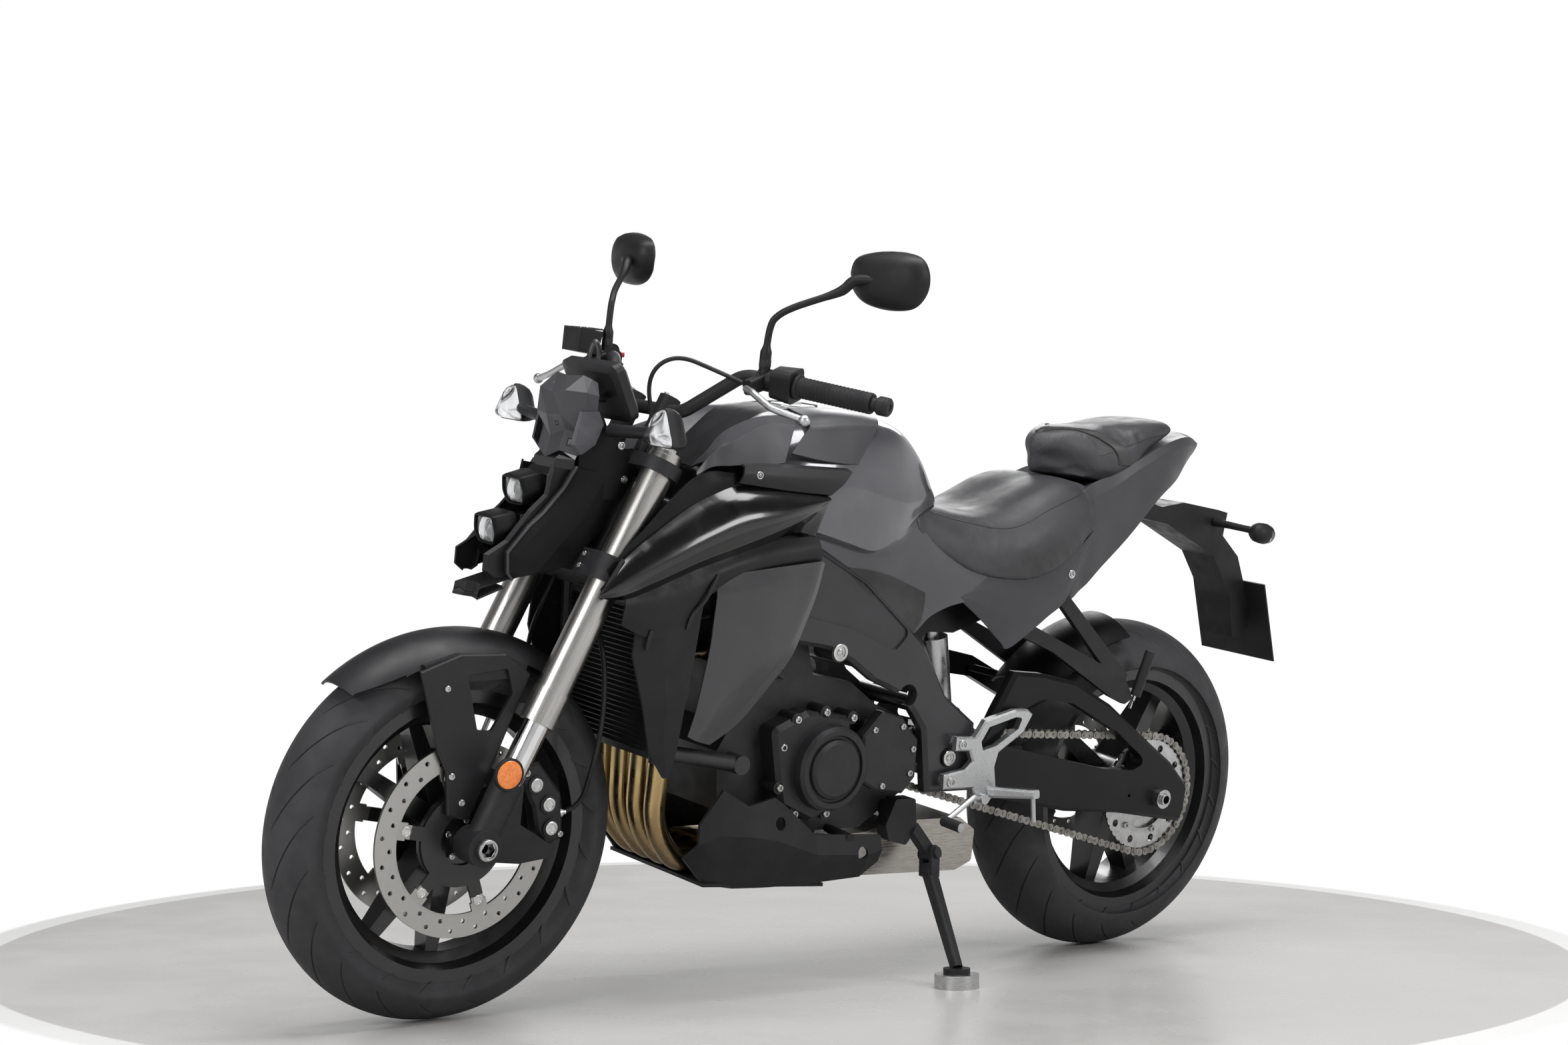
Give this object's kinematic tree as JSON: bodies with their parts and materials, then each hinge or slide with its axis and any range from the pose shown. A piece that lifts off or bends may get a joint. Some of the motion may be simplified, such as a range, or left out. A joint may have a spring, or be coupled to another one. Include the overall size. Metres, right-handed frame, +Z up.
{
  "type": "standard motorcycle",
  "caption": "Naked sport motorcycle leaning on its side stand, with free-turning wheels, turning fork and bars, and a folding stand on a round foot puck.",
  "frame": {"origin": "middle of the bottom of the bounding box, on the ground", "axes": "+X forward in the direction of travel, +Y to the left, the side it leans towards, +Z up"},
  "size_m": [2.1119, 0.8616, 1.3092],
  "materials": {
    "black_alloy": "satin",
    "cast_black": "satin",
    "chain_steel": "oiled",
    "cord_rubber": "satin",
    "disc_steel": "machined",
    "engine_paint": "satin",
    "fork_gold": "brushed",
    "frame_paint": "satin",
    "gloss_black": "gloss",
    "grip_rubber": "ribbed",
    "hard_chrome": "polished",
    "header_steel": "heat tinted",
    "lens_clear": "clear",
    "matt_black": "matt",
    "muffler_steel": "satin",
    "puck_alloy": "turned",
    "seat_vinyl": "vinyl",
    "silver_cast": "cast",
    "steel": "satin",
    "tyre_rubber": "matt"
  },
  "bodies": {
    "chassis": {"main_frame": "frame_paint", "subframe": "frame_paint", "engine_block": "engine_paint", "engine_covers": "engine_paint", "exhaust_headers": "header_steel", "muffler": "muffler_steel", "radiator": "cast_black", "belly_pan": "matt_black", "fuel_tank": "gloss_black", "tank_cover": "matt_black", "side_shrouds": "gloss_black", "side_panels": "gloss_black", "radiator_shrouds": "matt_black", "rider_seat": "seat_vinyl", "pillion_seat": "seat_vinyl", "tail_cowl": "matt_black", "side_covers": "matt_black", "plate_holder": "matt_black", "rear_lamps": "lens_clear", "swingarm": "frame_paint", "rear_axle": "steel", "chain": "chain_steel", "rear_shock": "steel", "hugger": "matt_black", "rear_caliper": "cast_black", "footrest_hangers": "silver_cast", "foot_controls": "silver_cast", "pillion_hangers": "cast_black", "stand_bracket": "cast_black", "fuel_cap": "silver_cast"},
    "front_wheel": {"front_tyre": "tyre_rubber", "front_rim": "black_alloy", "front_discs": "disc_steel"},
    "rear_wheel": {"rear_tyre": "tyre_rubber", "rear_rim": "black_alloy", "rear_sprocket": "steel", "rear_disc": "disc_steel"},
    "steering": {"fork_tubes": "fork_gold", "fork_sliders": "hard_chrome", "axle_carriers": "cast_black", "front_axle": "steel", "fork_yokes": "cast_black", "handlebar": "cast_black", "grips": "grip_rubber", "bar_controls": "matt_black", "levers": "silver_cast", "mirror_left": "matt_black", "mirror_right": "matt_black", "meter": "matt_black", "headlight_cowl": "matt_black", "headlight_lenses": "lens_clear", "front_fender": "matt_black", "front_calipers": "cast_black", "front_lamps": "lens_clear", "brake_hoses": "cord_rubber", "clutch_cable": "cord_rubber"},
    "stand": {"side_stand": "cast_black", "stand_puck": "puck_alloy"}
  },
  "joints": [
    {"name": "front_wheel_spin", "type": "hinge", "parent": "steering", "child": "front_wheel", "pos_m": [0.75598, -0.12928, 0.29781], "axis": [0, 0.9877, -0.1564], "continuous": true},
    {"name": "rear_wheel_spin", "type": "hinge", "parent": "chassis", "child": "rear_wheel", "pos_m": [-0.70403, -0.12693, 0.31225], "axis": [0, 0.9877, -0.1564], "continuous": true},
    {"name": "steering", "type": "hinge", "parent": "chassis", "child": "steering", "pos_m": [0.53374, -0.06815, 0.68367], "axis": [-0.4228, 0.1418, 0.895], "range_deg": [-28, 28]},
    {"name": "side_stand_fold", "type": "hinge", "parent": "chassis", "child": "stand", "pos_m": [-0.148, 0.00159, 0.2161], "axis": [-0.239, 0.955, 0.1756], "range_deg": [0, 92]}
  ]
}
